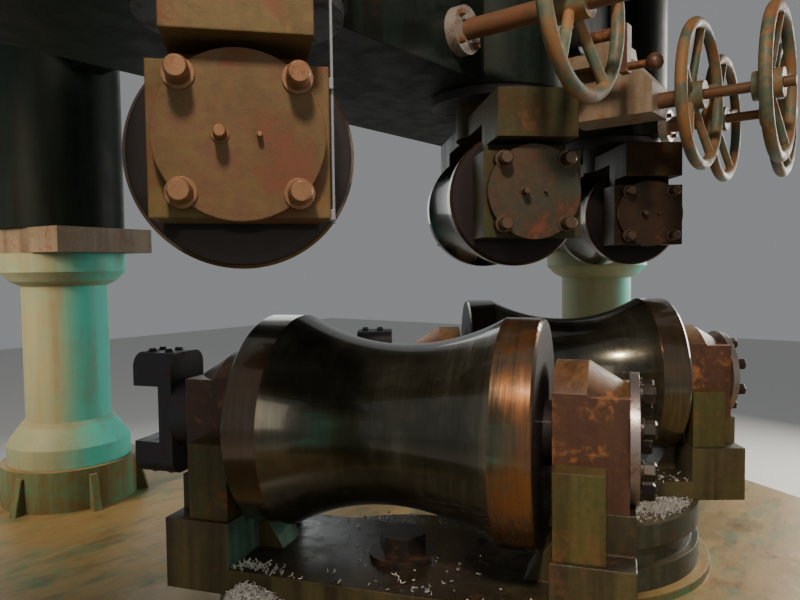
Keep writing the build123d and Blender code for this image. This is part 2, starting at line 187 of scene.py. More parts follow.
class Finish:
    def __init__(self, name):
        self.material = bpy.data.materials.new(name)
        self.material.use_nodes = True
        self.tree = self.material.node_tree
        self.tree.nodes.clear()
        self.point = None

    def add(self, kind, values=None, output=0, **settings):
        made = addNode(self.tree, kind, values, settings)
        return Signal(self, made.outputs[output]) if made.outputs else None

    def vector(self, operation, first, second=(0.0, 0.0, 0.0), output=0):
        return self.add("ShaderNodeVectorMath", {0: first, 1: second}, output, operation=operation)

    def along(self, offset, direction):
        return self.vector("DOT_PRODUCT", offset, direction, "Value")

    def combined(self, *parts):
        return self.add("ShaderNodeCombineXYZ", dict(enumerate(parts)))

    def place(self):
        if self.point is None:
            self.point = self.add("ShaderNodeTexCoord", output="Object")
        return self.point

    def stretched(self, factors):
        return self.vector("MULTIPLY", self.place(), factors)

    def noise(self, scale, detail, rough, point=None, warp=0.0):
        return self.add("ShaderNodeTexNoise", {"Vector": point or self.place(), "Scale": scale,
                                               "Detail": detail, "Roughness": rough, "Distortion": warp},
                        "Fac")

    def normal(self):
        return self.add("ShaderNodeNewGeometry", output="Normal")

    def upward(self):
        return self.add("ShaderNodeSeparateXYZ", {0: self.normal()}, "Z")

    def rounded(self, radius):
        return self.add("ShaderNodeBevel", {"Radius": radius}, samples=4)

    def edges(self, soft, low, high):
        return (1.0 - self.along(soft, self.normal())).between(low, high)

    def blend(self, mask, first, second):
        return self.add("ShaderNodeMix", {0: mask, 6: first, 7: second}, 2, data_type="RGBA",
                        clamp_factor=True)

    def bump(self, height, strength, distance, below):
        return self.add("ShaderNodeBump", {"Height": height, "Strength": strength, "Distance": distance,
                                           "Normal": below})

    def surface(self, values):
        shader = self.add("ShaderNodeBsdfPrincipled", values)
        self.add("ShaderNodeOutputMaterial", {"Surface": shader})


def shade(color):
    return (*color, 1.0)


# Painted castings: old paint under grime that runs down, rust that breaks through, oil on flat tops.
# Wear and dirt are the noise levels where rust and grime begin, and edge is a radius in metres

mintPaint = {"paint": (0.10, 0.24, 0.14), "faded": (0.19, 0.22, 0.10), "grime": (0.16, 0.085, 0.03),
             "rust": (0.26, 0.11, 0.035), "film": (0.37, 0.25, 0.105), "wear": 0.56, "oil": 0.25,
             "dirt": 0.49, "edge": 0.006, "shine": 0.12}
# The columns' brightest colour is the painted highlight on their lit side
columnPaint = {"paint": (0.26, 0.31, 0.19), "faded": (0.34, 0.32, 0.18), "grime": (0.26, 0.19, 0.09),
               "cleanAndLit": (0.09, 0.60, 0.50), "bare": (0.045, 0.038, 0.030),
               "rust": (0.24, 0.12, 0.045), "film": (0.26, 0.18, 0.08), "wear": 0.70, "oil": 0.3,
               "dirt": 0.60, "edge": 0.006, "shine": 0.35}
darkPaint = {"paint": (0.010, 0.018, 0.015), "faded": (0.018, 0.030, 0.024), "grime": (0.008, 0.007, 0.005),
             "rust": (0.05, 0.024, 0.012), "film": (0.02, 0.02, 0.015), "wear": 0.62, "oil": 0.3,
             "dirt": 0.5, "edge": 0.005, "shine": 0.08}
olivePaint = {"paint": (0.115, 0.082, 0.030), "faded": (0.165, 0.115, 0.045),
              "grime": (0.045, 0.026, 0.013), "rust": (0.15, 0.058, 0.03), "film": (0.10, 0.07, 0.03),
              "wear": 0.46, "oil": 0.4, "dirt": 0.55, "runny": 0.15, "edge": 0.004, "shine": 0.2}
capPaint = {"paint": (0.115, 0.056, 0.033), "faded": (0.135, 0.098, 0.036), "grime": (0.05, 0.028, 0.016),
            "rust": (0.14, 0.052, 0.030), "film": (0.10, 0.07, 0.03), "wear": 0.46, "oil": 0.4,
            "dirt": 0.56, "runny": 0.1, "edge": 0.003, "shine": 0.2}
keeperPaint = {"paint": (0.085, 0.090, 0.026), "faded": (0.15, 0.125, 0.036), "grime": (0.04, 0.026, 0.012),
               "rust": (0.17, 0.07, 0.02), "film": (0.12, 0.09, 0.03), "wear": 0.50, "oil": 0.4,
               "dirt": 0.50, "edge": 0.004, "shine": 0.35}
wheelPaint = {"paint": (0.085, 0.130, 0.090), "faded": (0.25, 0.20, 0.11), "grime": (0.05, 0.032, 0.017),
              "shaft": (0.13, 0.055, 0.025), "rust": (0.26, 0.12, 0.045), "film": (0.20, 0.14, 0.06),
              "wear": 0.43, "oil": 0.3, "dirt": 0.54, "edge": 0.003, "shine": 0.4}
tablePaint = {"paint": (0.055, 0.078, 0.058), "faded": (0.12, 0.135, 0.09), "grime": (0.022, 0.018, 0.012),
              "rust": (0.11, 0.05, 0.02), "film": (0.13, 0.11, 0.06), "wear": 0.52, "oil": 0.6,
              "dirt": 0.48, "edge": 0.005, "shine": 0.5}
rustyCast = {"paint": (0.070, 0.026, 0.012), "faded": (0.11, 0.042, 0.017), "grime": (0.028, 0.014, 0.008),
             "rust": (0.34, 0.13, 0.035), "film": (0.30, 0.17, 0.07), "wear": 0.50, "oil": 0.35,
             "dirt": 0.54, "edge": 0.004, "shine": 0.6}
tanPlate = {"paint": (0.22, 0.16, 0.10), "faded": (0.30, 0.24, 0.17), "grime": (0.06, 0.035, 0.018),
            "rust": (0.24, 0.09, 0.035), "film": (0.22, 0.16, 0.09), "wear": 0.50, "oil": 0.3,
            "dirt": 0.55, "edge": 0.003, "shine": 0.35}
# The middle and exit housings take darker copies of the olive and cap paints: painted shade
shadedOlive = dict(olivePaint, paint=(0.043, 0.052, 0.026), faded=(0.085, 0.072, 0.032), dirt=0.50,
                   wear=0.52, shine=0.1)
deepShadeOlive = dict(shadedOlive, paint=(0.022, 0.021, 0.014), faded=(0.036, 0.030, 0.018), dirt=0.46)
cradlePaint = dict(tablePaint, paint=(0.095, 0.078, 0.028), faded=(0.13, 0.105, 0.040),
                   cleanAndLit=(0.15, 0.35, 0.25), film=(0.035, 0.028, 0.018), oil=0.9)
shadedCap = dict(capPaint, paint=(0.045, 0.050, 0.036), faded=(0.11, 0.062, 0.034), dirt=0.50, wear=0.50,
                 shine=0.15)
deepShadeCap = dict(shadedCap, paint=(0.020, 0.021, 0.017), faded=(0.042, 0.028, 0.019), dirt=0.46, wear=0.56)

# A noise is its scale per metre, its detail and its roughness. Runs are drawn out downwards, and swept
# film along the pass line. Steps are the levels between which each layer sets in

paintNoise = {"broad": (1.7, 5.0, 0.6), "patchy": (9.0, 6.0, 0.65), "fine": (60.0, 4.0, 0.6),
              "grain": (260.0, 2.0, 0.5), "runs": (1.0, 5.0, 0.6), "swept": (1.0, 7.0, 0.68)}
paintDrawn = {"runs": (16.0, 16.0, 1.1), "swept": (3.0, 8.0, 1.0)}
paintSteps = {"flat": (0.55, 0.95), "faded": (0.43, 0.60), "cleanAndLit": (0.45, 1.0), "swept": (0.33, 0.56),
              "puddles": (0.40, 0.62), "edges": (0.02, 0.16), "chipped": (0.42, 0.56)}
paintRelief = {"strength": 0.55, "depth": 0.0024}
shaftBrown = {"full": 0.028, "gone": 0.036}
paintBands = {"dirt": 0.12, "bare": 0.01, "wornFrom": 0.02, "wornTo": 0.16}
usualRuns = 0.5


def paintedCasting(name, look, cleanAndLitSide=None, shaft=None, bareAbove=None):
    finish = Finish(name)
    broad = finish.noise(*paintNoise["broad"])
    patchy = finish.noise(*paintNoise["patchy"], warp=0.5)
    fine = finish.noise(*paintNoise["fine"])
    grain = finish.noise(*paintNoise["grain"])
    runs = finish.noise(*paintNoise["runs"], finish.stretched(paintDrawn["runs"]))
    swept = finish.noise(*paintNoise["swept"], finish.stretched(paintDrawn["swept"]))
    soft = finish.rounded(look["edge"])
    flatTop = finish.upward().between(*paintSteps["flat"])
    fading = (patchy * 0.45 + broad * 0.3 + fine * 0.25).between(*paintSteps["faded"])
    paint = finish.blend(fading, shade(look["paint"]), shade(look["faded"]))
    # Faces that look one way take a brighter colour: a cleaner end on the cradles, a painted highlight on
    # the columns' lit side
    if cleanAndLitSide is not None:
        facing = finish.along(finish.normal(), cleanAndLitSide) + patchy * 0.5
        paint = finish.blend(facing.between(*paintSteps["cleanAndLit"]), paint, shade(look["cleanAndLit"]))
    runny = look.get("runny", usualRuns)
    mottled = runs * runny + patchy * (0.75 - runny) + broad * 0.25
    dirt = mottled.between(look["dirt"] - paintBands["dirt"], look["dirt"] + paintBands["dirt"])
    dirty = finish.blend(dirt * 0.85, paint, shade(look["grime"]))
    filmed = finish.blend(flatTop * swept.between(*paintSteps["swept"]) * 0.9, dirty, shade(look["film"]))
    puddles = (broad * 0.65 + patchy * 0.35).between(*paintSteps["puddles"]) * flatTop * look["oil"]
    oiled = finish.blend(puddles, filmed, shade(look["grime"]))
    edges = finish.edges(soft, *paintSteps["edges"])
    worn = (patchy * 0.75 + fine * 0.25).between(look["wear"] + paintBands["wornFrom"],
                                                 look["wear"] + paintBands["wornTo"])
    bare = (worn + edges * fine.between(*paintSteps["chipped"]) * 0.9).clipped()
    rusted = finish.blend(bare * 0.85, oiled, shade(look["rust"]))
    if shaft is not None:
        offset = finish.vector("SUBTRACT", finish.place(), shaft["pos_m"])
        spread = finish.vector("LENGTH", finish.vector("MULTIPLY", offset, (1.0, 0.0, 1.0)), output="Value")
        brown = (1.0 - spread.between(shaftBrown["full"], shaftBrown["gone"])) * (0.6 + patchy * 0.5)
        rusted = finish.blend(brown, rusted, shade(look["shaft"]))
    if bareAbove is not None:
        height = finish.along(finish.place(), (0.0, 0.0, 1.0))
        upper = height.between(bareAbove, bareAbove + paintBands["bare"])
        rusted = finish.blend(upper, rusted, shade(look["bare"]))
    roughness = 0.54 - dirt * 0.16 - puddles * 0.26 + bare * 0.22
    relief = finish.bump(fine * 0.4 + patchy * 0.4 + grain * 0.2 - bare * 0.3, paintRelief["strength"],
                         paintRelief["depth"], soft)
    finish.surface({"Base Color": rusted, "Roughness": roughness.clipped(), "Normal": relief,
                    "Specular IOR Level": look["shine"]})
    return finish.material


# Ground rolls: dark oily steel with streaks round the axis and a brown film on the lands. The bands are
# distances from the land's inner edge and from the end face, over which film and face set in

rollLook = {"steel": (0.080, 0.077, 0.056), "bright": (0.19, 0.180, 0.135), "film": (0.30, 0.115, 0.036),
            "oil": (0.026, 0.026, 0.016), "face": (0.026, 0.021, 0.024), "shadowTone": (0.022, 0.019, 0.015)}
rollNoise = {"ring": (1.0, 4.0, 0.6), "blotches": (5.0, 5.0, 0.6)}
rollRings = {"streaks": (42.0, 0.9), "scratches": (210.0, 1.8), "face": 120.0}
rollSteps = {"bright": (0.42, 0.70), "oiled": (0.42, 0.60), "end": (-0.1, 0.1), "browned": (0.36, 0.60)}
rollBands = {"landFrom": 0.012, "landTo": 0.004, "faceFrom": 0.003, "faceTo": 0.001}
rollRelief = {"strength": 0.22, "depth": 0.0008, "edge": 0.004}
rollCoat = {"Coat Roughness": 0.07, "Coat IOR": 1.45}
lowerRoll = {"half": 0.35, "land": 0.09}
upperRoll = {"half": 0.21, "land": 0.045}
# The upper rolls, the middle and exit ones most, are blended towards a near-black tone: painted shade
rollFilmAndShadow = {"front": {"browned": 1.0, "shadowShare": 0.0}, "rear": {"browned": 0.3, "shadowShare": 0.0},
            "entry": {"browned": 0.5, "shadowShare": 0.2}, "middle": {"browned": 0.5, "shadowShare": 0.9},
            "exit": {"browned": 0.5, "shadowShare": 0.9}}


def groundRoll(name, joint, half, land, browned, shadowShare):
    finish = Finish(name)
    along = joint["axis"]
    across = (-along[1], along[0], 0.0)
    offset = finish.vector("SUBTRACT", finish.place(), joint["pos_m"])
    station = finish.along(offset, along)
    side = finish.along(offset, across)
    height = finish.along(offset, (0.0, 0.0, 1.0))
    radius = (side * side + height * height + 1e-6).root()

    def ring(pitch, turns):
        return finish.noise(*rollNoise["ring"], finish.combined(station * pitch, side / radius * turns,
                                                                height / radius * turns))

    streaks = ring(*rollRings["streaks"])
    scratches = ring(*rollRings["scratches"])
    face = finish.noise(*rollNoise["ring"], finish.combined(radius * rollRings["face"]))
    blotches = finish.noise(*rollNoise["blotches"], warp=0.6)
    bright = (streaks * 0.7 + scratches * 0.3).between(*rollSteps["bright"])
    steel = finish.blend(bright, shade(rollLook["steel"]), shade(rollLook["bright"]))
    oiled = (blotches * 0.7 + streaks * 0.3).between(*rollSteps["oiled"])
    oilyAndShaded = finish.blend(oiled * 0.8, steel, shade(rollLook["oil"]))
    # Blend towards a near-black tone: painted shade
    oilyAndShaded = finish.blend(shadowShare, oilyAndShaded, shade(rollLook["shadowTone"]))
    reach = abs(station)
    onLand = reach.between(half - land - rollBands["landFrom"], half - land + rollBands["landTo"])
    onFace = reach.between(half - rollBands["faceFrom"], half - rollBands["faceTo"])
    nearEnd = 0.35 + station.between(*rollSteps["end"]) * 0.65
    patches = (blotches * 0.65 + streaks * 0.25 + scratches * 0.1).between(*rollSteps["browned"])
    film = onLand * (1.0 - onFace) * nearEnd * patches * 0.85 * browned
    filmed = finish.blend(film, oilyAndShaded, shade(rollLook["film"]))
    faced = finish.blend(onFace * (0.82 + face * 0.18), filmed, shade(rollLook["face"]))
    roughness = 0.10 + scratches * 0.12 + film * 0.10 + blotches * 0.10 + onFace * (0.34 + face * 0.2)
    relief = finish.bump(scratches * 0.6 + streaks * 0.4, rollRelief["strength"], rollRelief["depth"],
                         finish.rounded(rollRelief["edge"]))
    wet = (0.35 + blotches * 0.9).clipped() * (1.0 - onFace * 0.85) * (1.0 - shadowShare * 0.7)
    finish.surface({"Base Color": faced, "Metallic": 0.75, "Roughness": roughness.clipped(),
                    "Normal": relief, "Coat Weight": wet, **rollCoat})
    return finish.material


# Bare and blackened steels, stained brown in patches

stainBrown = (0.16, 0.06, 0.02)
steelNoise = {"patchy": (22.0, 5.0, 0.6), "fine": (180.0, 3.0, 0.5)}
steelStained = (0.48, 0.66)
steelRelief = {"strength": 0.35, "depth": 0.0012, "edge": 0.002}
# One steel is a darker copy of the bolt steel: painted shade for the heads on the middle and exit caps
steelLooks = {
    "blackSteel": {"color": (0.045, 0.046, 0.054), "roughness": 0.48, "metal": 0.4, "stains": 0.25},
    "boltSteel": {"color": (0.20, 0.105, 0.05), "roughness": 0.48, "metal": 0.35, "stains": 0.7},
    "shadedBolt": {"color": (0.075, 0.045, 0.028), "roughness": 0.45, "metal": 0.35, "stains": 0.4},
    "flangeSteel": {"color": (0.34, 0.30, 0.27), "roughness": 0.45, "metal": 0.4, "stains": 0.8},
    "darkBolt": {"color": (0.035, 0.030, 0.026), "roughness": 0.42, "metal": 0.5, "stains": 0.5},
    "brightSteel": {"color": (0.86, 0.84, 0.80), "roughness": 0.30, "metal": 0.25, "stains": 0.1},
    "paleSteel": {"color": (0.20, 0.22, 0.25), "roughness": 0.45, "metal": 0.3, "stains": 0.3},
    "capSteel": {"color": (0.30, 0.27, 0.27), "roughness": 0.34, "metal": 0.7, "stains": 0.6}}


def bareSteel(name, color, roughness, metal, stains):
    finish = Finish(name)
    patchy = finish.noise(*steelNoise["patchy"])
    fine = finish.noise(*steelNoise["fine"])
    stain = (patchy * 0.7 + fine * 0.3).between(*steelStained)
    tone = finish.blend(stain * stains, shade(color), shade(stainBrown))
    relief = finish.bump(fine * 0.5 + patchy * 0.5, steelRelief["strength"], steelRelief["depth"],
                         finish.rounded(steelRelief["edge"]))
    finish.surface({"Base Color": tone, "Metallic": metal, "Roughness": (roughness + stain * 0.3).clipped(),
                    "Normal": relief})
    return finish.material


makeStudio()
makeCamera(photoView)
print("studio and camera ready")

# The columns are painted brighter turquoise towards the exit and the operator, a painted highlight for the
# light on that side, and bare where they pass through the crown

columnLitSideAndBare = {"side": (0.61, -0.79, 0.0), "bareAbove": 2.3}
mint = paintedCasting("mintPaint", mintPaint)
columnMint = paintedCasting("columnPaint", columnPaint, columnLitSideAndBare["side"],
                            bareAbove=columnLitSideAndBare["bareAbove"])
dark = paintedCasting("darkPaint", darkPaint)
# The darker middle and exit finishes are painted shade
yokeFinish = {"entry": paintedCasting("olivePaint", olivePaint),
              "middle": paintedCasting("shadedOlive", shadedOlive),
              "exit": paintedCasting("deepShadeOlive", deepShadeOlive)}
capFinish = {"entry": paintedCasting("capPaint", capPaint),
             "middle": paintedCasting("shadedCap", shadedCap),
             "exit": paintedCasting("deepShadeCap", deepShadeCap)}
keeper = paintedCasting("keeperPaint", keeperPaint)
tableGreen = paintedCasting("tablePaint", tablePaint)
rusty = paintedCasting("rustyCast", rustyCast)
tan = paintedCasting("tanPlate", tanPlate)
steels = {name: bareSteel(name, **look) for name, look in steelLooks.items()}

nodeFinish = {"bed": mint, "column_nuts": dark, "crown_spacers": tan, "crown": dark, "crown_arms": dark,
              "crown_sleeves": dark, "stem_covers": dark, "wheel_bracket": tan,
              "wheel_flanges": steels["flangeSteel"], "hand_crank": rusty}
for side in columnSides:
    nodeFinish["column_" + side] = columnMint
for place in lowerPlaces:
    turn = joints[place + "_roll_turn"]
    nodeFinish.update({
        "turntable_" + place: tableGreen,
        "pivot_nut_" + place: steels["darkBolt"],
        "cradle_" + place: paintedCasting("cradlePaint_" + place, cradlePaint, turn["axis"]),
        "chocks_" + place: rusty,
        "keepers_" + place: keeper,
        "end_cap_" + place: steels["capSteel"],
        "drive_yoke_" + place: steels["blackSteel"],
        "lower_roll_" + place: groundRoll(place + "Roll", turn, **lowerRoll, **rollFilmAndShadow[place])})
for place in upperPlaces:
    turn = joints[place + "_top_roll_turn"]
    nodeFinish.update({
        "swivel_sleeve_" + place: steels["blackSteel"],
        "upper_yoke_" + place: yokeFinish[place],
        "bearing_caps_" + place: capFinish[place],
        "upper_roll_" + place: groundRoll(place + "TopRoll", turn, **upperRoll, **rollFilmAndShadow[place])})
for number in range(1, 6):
    wheel = "handwheel_" + str(number)
    nodeFinish[wheel] = paintedCasting(wheel + "Paint", wheelPaint,
                                       shaft=joints["wheel_" + str(number) + "_turn"])
for name, material in nodeFinish.items():
    nodes[name].data.materials.clear()
    nodes[name].data.materials.append(material)
print("finishes set on", len(nodeFinish), "nodes")


# Repeated hardware is grown by Geometry Nodes on seats. A seat is a point, its aim and, if not 1, its size


class Recipe:
    def __init__(self, name, sizes):
        self.tree = bpy.data.node_groups.new(name, "GeometryNodeTree")
        face = self.tree.interface
        face.new_socket("Geometry", in_out="OUTPUT", socket_type="NodeSocketGeometry")
        face.new_socket("Geometry", in_out="INPUT", socket_type="NodeSocketGeometry")
        self.keys = {}
        for label, value in sizes.items():
            kind = "NodeSocketInt" if isinstance(value, int) else "NodeSocketFloat"
            socket = face.new_socket(label, in_out="INPUT", socket_type=kind)
            socket.default_value = value
            self.keys[label] = socket.identifier
        self.entry = self.tree.nodes.new("NodeGroupInput").outputs

    def add(self, kind, values=None, **settings):
        return addNode(self.tree, kind, values, settings).outputs[0]

    def times(self, first, second):
        return self.add("ShaderNodeMath", {0: first, 1: second}, operation="MULTIPLY")

    def plus(self, first, second):
        return self.add("ShaderNodeMath", {0: first, 1: second}, operation="ADD")

    def attribute(self, name, kind):
        return self.add("GeometryNodeInputNamedAttribute", {"Name": name}, data_type=kind)

    def drawn(self, low, high):
        return self.add("FunctionNodeRandomValue", {0: low, 1: high, "Seed": self.entry["Seed"]},
                        data_type="FLOAT_VECTOR")

    def raised(self, shape, height):
        shift = self.add("ShaderNodeCombineXYZ", {"Z": height})
        return self.add("GeometryNodeTransform", {"Geometry": shape, "Translation": shift})

    def prism(self, sides, bottom, top, height):
        return self.add("GeometryNodeMeshCone", {"Vertices": sides, "Side Segments": 1,
                                                 "Radius Bottom": bottom, "Radius Top": top,
                                                 "Depth": height}, fill_type="NGON")

    def swept(self, curve, profile):
        return self.add("GeometryNodeCurveToMesh", {"Curve": curve, "Profile Curve": profile,
                                                    "Fill Caps": True})

    def joined(self, *shapes):
        made = self.tree.nodes.new("GeometryNodeJoinGeometry")
        for shape in shapes:
            self.tree.links.new(shape, made.inputs[0])
        return made.outputs[0]

    def finished(self, shape, material, **placing):
        grown = self.add("GeometryNodeInstanceOnPoints", {"Points": self.entry["Geometry"],
                                                          "Instance": shape, **placing})
        real = self.add("GeometryNodeRealizeInstances", {0: grown})
        made = self.add("GeometryNodeSetMaterial", {"Geometry": real, "Material": material})
        self.tree.links.new(made, self.tree.nodes.new("NodeGroupOutput").inputs[0])
        return self


headShape = {"straight": 0.84, "sloped": 0.16, "narrowed": 0.84, "collarSides": 20}


def fastenerRecipe(name, material):
    recipe = Recipe(name, {"Head Width": 0.03, "Head Height": 0.02, "Sides": 6, "Collar Width": 0.04,
                           "Collar Height": 0.004, "Seed": 1})
    size = recipe.entry
    half = recipe.times(size["Head Width"], 0.5)
    straight = recipe.times(size["Head Height"], headShape["straight"])
    slope = recipe.times(size["Head Height"], headShape["sloped"])
    collarHalf = recipe.times(size["Collar Width"], 0.5)
    collar = recipe.prism(headShape["collarSides"], collarHalf, collarHalf, size["Collar Height"])
    head = recipe.prism(size["Sides"], half, half, straight)
    top = recipe.prism(size["Sides"], half, recipe.times(half, headShape["narrowed"]), slope)
    bolt = recipe.joined(collar, recipe.raised(head, size["Collar Height"]),
                         recipe.raised(top, recipe.plus(size["Collar Height"], straight)))
    aim = recipe.add("FunctionNodeAlignRotationToVector",
                     {"Vector": recipe.attribute("aim", "FLOAT_VECTOR")}, axis="Z")
    turned = recipe.add("FunctionNodeRotateRotation",
                        {"Rotation": aim, "Rotate By": recipe.drawn((0, 0, 0), (0, 0, math.tau))},
                        rotation_space="LOCAL")
    return recipe.finished(bolt, material, Rotation=turned, Scale=recipe.attribute("size", "FLOAT"))


chipShape = {"steps": 6, "narrowed": 0.7, "smallest": (0.5, 0.5, 0.3), "largest": (1.5, 1.5, 1.6)}


def chipRecipe(material):
    recipe = Recipe("metalChips", {"Curl Radius": 0.0030, "Curl Height": 0.008, "Ribbon Width": 0.0026,
                                   "Ribbon Thickness": 0.0007, "Turns": 0.8, "Seed": 5})
    size = recipe.entry
    curl = recipe.add("GeometryNodeCurveSpiral", {
        "Resolution": chipShape["steps"], "Rotations": size["Turns"], "Start Radius": size["Curl Radius"],
        "End Radius": recipe.times(size["Curl Radius"], chipShape["narrowed"]),
        "Height": size["Curl Height"]})
    ribbon = recipe.add("GeometryNodeCurvePrimitiveQuadrilateral", {
        "Width": size["Ribbon Width"], "Height": size["Ribbon Thickness"]})
    spin = recipe.drawn((0, 0, 0), (math.tau, math.tau, math.tau))
    growth = recipe.drawn(chipShape["smallest"], chipShape["largest"])
    return recipe.finished(recipe.swept(curl, ribbon), material, Rotation=spin, Scale=growth)


threadShape = {"steps": 44, "crestSides": 4}


def threadRecipe(material):
    recipe = Recipe("coarseThread", {"Radius": 0.1495, "Turns": 7.0, "Length": 0.06, "Depth": 0.006})
    size = recipe.entry
    helix = recipe.add("GeometryNodeCurveSpiral", {
        "Resolution": threadShape["steps"], "Rotations": size["Turns"], "Start Radius": size["Radius"],
        "End Radius": size["Radius"], "Height": size["Length"]})
    crest = recipe.add("GeometryNodeCurvePrimitiveCircle", {"Resolution": threadShape["crestSides"],
                                                            "Radius": size["Depth"]}, mode="RADIUS")
    return recipe.finished(recipe.swept(helix, crest), material)


def seatMesh(name, seats):
    mesh = bpy.data.meshes.new(name)
    mesh.from_pydata([seat[0] for seat in seats], [], [])
    aims = mesh.attributes.new("aim", "FLOAT_VECTOR", "POINT")
    aims.data.foreach_set("vector", [value for seat in seats for value in seat[1]])
    sizes = mesh.attributes.new("size", "FLOAT", "POINT")
    sizes.data.foreach_set("value", [seat[2] if len(seat) > 2 else 1.0 for seat in seats])
    return mesh


def grow(recipe, name, seats, body, sizes=None):
    holder = addObject(name + "Seats", seatMesh(name + "Seats", seats))
    modifier = holder.modifiers.new("growth", "NODES")
    modifier.node_group = recipe.tree
    for label, value in (sizes or {}).items():
        modifier[recipe.keys[label]] = value
    graph = bpy.context.evaluated_depsgraph_get()
    mesh = bpy.data.meshes.new_from_object(holder.evaluated_get(graph))
    bpy.data.objects.remove(holder)
    piece = addObject(name, mesh)
    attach(piece, body)


def ridden(name, bm, material, body, bevel):
    bmesh.ops.recalc_face_normals(bm, faces=bm.faces)
    mesh = bpy.data.meshes.new(name)
    bm.to_mesh(mesh)
    bm.free()
    mesh.materials.append(material)
    piece = addObject(name, mesh)
    modifier = piece.modifiers.new("roundedEdges", "BEVEL")
    modifier.width = bevel
    modifier.segments = 2
    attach(piece, body)


def addBox(bm, center, lengthways, sideways, upways):
    corners = bmesh.ops.create_cube(bm, size=1)["verts"]
    for corner in corners:
        x, y, z = corner.co
        corner.co = center + x * lengthways + y * sideways + z * upways


def directions(joint):
    along = Vector(joint["axis"])
    return along, Vector((-along.y, along.x, 0.0))


def onAxis(joint, station, sideways, lift=0.0):
    along, across = directions(joint)
    return Vector(joint["pos_m"]) + along * station + across * sideways + Vector((0, 0, lift))


def anglesRound(count, start=0.0):
    return [math.tau * (index + start) / count for index in range(count)]


roundHeads = fastenerRecipe("roundHeads", steels["boltSteel"])
hexHeads = fastenerRecipe("hexHeads", steels["darkBolt"])
darkHeads = fastenerRecipe("darkHeads", steels["blackSteel"])
shadedHeads = fastenerRecipe("shadedHeads", steels["shadedBolt"])

# Each upper bearing cap is held by four round heads on a square, with a grease plug and a nipple

capHeads = {"face": 0.354, "square": 0.156,
            "sizes": {"Head Width": 0.032, "Head Height": 0.034, "Sides": 22, "Collar Width": 0.043,
                      "Collar Height": 0.025}}
capPlugs = {"proud": 0.021, "sideways": 0.026, "plug": 1.0, "nipple": 0.45,
            "sizes": {"Head Width": 0.018, "Head Height": 0.026, "Sides": 16, "Collar Width": 0.024,
                      "Collar Height": 0.003}}
for place in upperPlaces:
    turn = joints[place + "_top_roll_turn"]
    # The middle and exit caps' heads are darker: painted shade
    kind = roundHeads if place == "entry" else shadedHeads
    heads, plugs = [], []
    for end in (-1, 1):
        aim = Vector(turn["axis"]) * end
        for across in (-1, 1):
            for up in (-1, 1):
                heads.append((onAxis(turn, end * capHeads["face"], across * capHeads["square"] / 2,
                                     up * capHeads["square"] / 2), aim))
            plugs.append((onAxis(turn, end * (capHeads["face"] + capPlugs["proud"]),
                                 across * capPlugs["sideways"]), aim,
                          capPlugs["plug"] if across * end < 0 else capPlugs["nipple"]))
    grow(kind, "cap_heads_" + place, heads, "yoke_" + place, capHeads["sizes"])
    grow(kind, "cap_plugs_" + place, plugs, "yoke_" + place, capPlugs["sizes"])
print("cap heads grown")

# The lower end caps have eight long hexagon heads each

endHeads = {"face": 0.554, "radius": 0.114, "count": 8,
            "sizes": {"Head Width": 0.040, "Head Height": 0.026, "Collar Width": 0.046,
                      "Collar Height": 0.007, "Seed": 4}}
for place in lowerPlaces:
    turn = joints[place + "_roll_turn"]
    seats = [(onAxis(turn, endHeads["face"], endHeads["radius"] * math.cos(angle),
                     endHeads["radius"] * math.sin(angle)), turn["axis"])
             for angle in anglesRound(endHeads["count"], 0.5)]
    grow(hexHeads, "end_cap_heads_" + place, seats, "table_" + place, endHeads["sizes"])
print("end cap heads grown")

# Cap screws close the bores in the ears of the drive forks

earScrews = {"start": -0.617, "reach": 0.117, "half": 0.1625, "sideways": 0.022, "shares": (0.35, 0.8),
             "sizes": {"Head Width": 0.020, "Head Height": 0.006, "Collar Width": 0.026,
                       "Collar Height": 0.002, "Seed": 8}}
for place in lowerPlaces:
    turn = joints[place + "_roll_turn"]
    seats = []
    for end in (-1, 1):
        for side in (-1, 1):
            for share in earScrews["shares"]:
                station = earScrews["start"] - earScrews["reach"] * share
                seats.append((onAxis(turn, station, side * earScrews["sideways"], end * earScrews["half"]),
                              (0, 0, end)))
    grow(darkHeads, "ear_screws_" + place, seats, "roll_" + place, earScrews["sizes"])
print("ear screws grown")

# Bolt rings on the stem covers and on the hand shafts' flanges

coverHeads = {"radius": 0.165, "top": 3.04, "count": 8,
              "sizes": {"Head Width": 0.036, "Head Height": 0.022, "Seed": 9}}
flangeHeads = {"radius": 0.046, "faces": {1: -0.10, 3: -0.238}, "count": 4,
               "sizes": {"Head Width": 0.016, "Head Height": 0.012, "Collar Width": 0.02,
                         "Collar Height": 0.002, "Seed": 3}}
seats = []
for place in upperPlaces:
    x, y, _ = joints[place + "_yoke_angle"]["pos_m"]
    for angle in anglesRound(coverHeads["count"]):
        seats.append(((x + coverHeads["radius"] * math.cos(angle),
                       y + coverHeads["radius"] * math.sin(angle), coverHeads["top"]), (0, 0, 1)))
grow(hexHeads, "cover_heads", seats, "frame", coverHeads["sizes"])
seats = []
for number, face in flangeHeads["faces"].items():
    x, _, z = joints["wheel_" + str(number) + "_turn"]["pos_m"]
    for angle in anglesRound(flangeHeads["count"], 0.5):
        seats.append(((x + flangeHeads["radius"] * math.cos(angle), face,
                       z + flangeHeads["radius"] * math.sin(angle)), (0, -1, 0)))
grow(roundHeads, "flange_heads", seats, "frame", flangeHeads["sizes"])
print("bolt rings grown")

# The columns' middles in plan, for what is set round them and on top of them

columnCenters = []
for side in columnSides:
    low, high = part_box("column_" + side)
    columnCenters.append(Vector(((low[0] + high[0]) / 2, (low[1] + high[1]) / 2, 0)))

# Anchor nuts hold the bed's foot down between its ribs

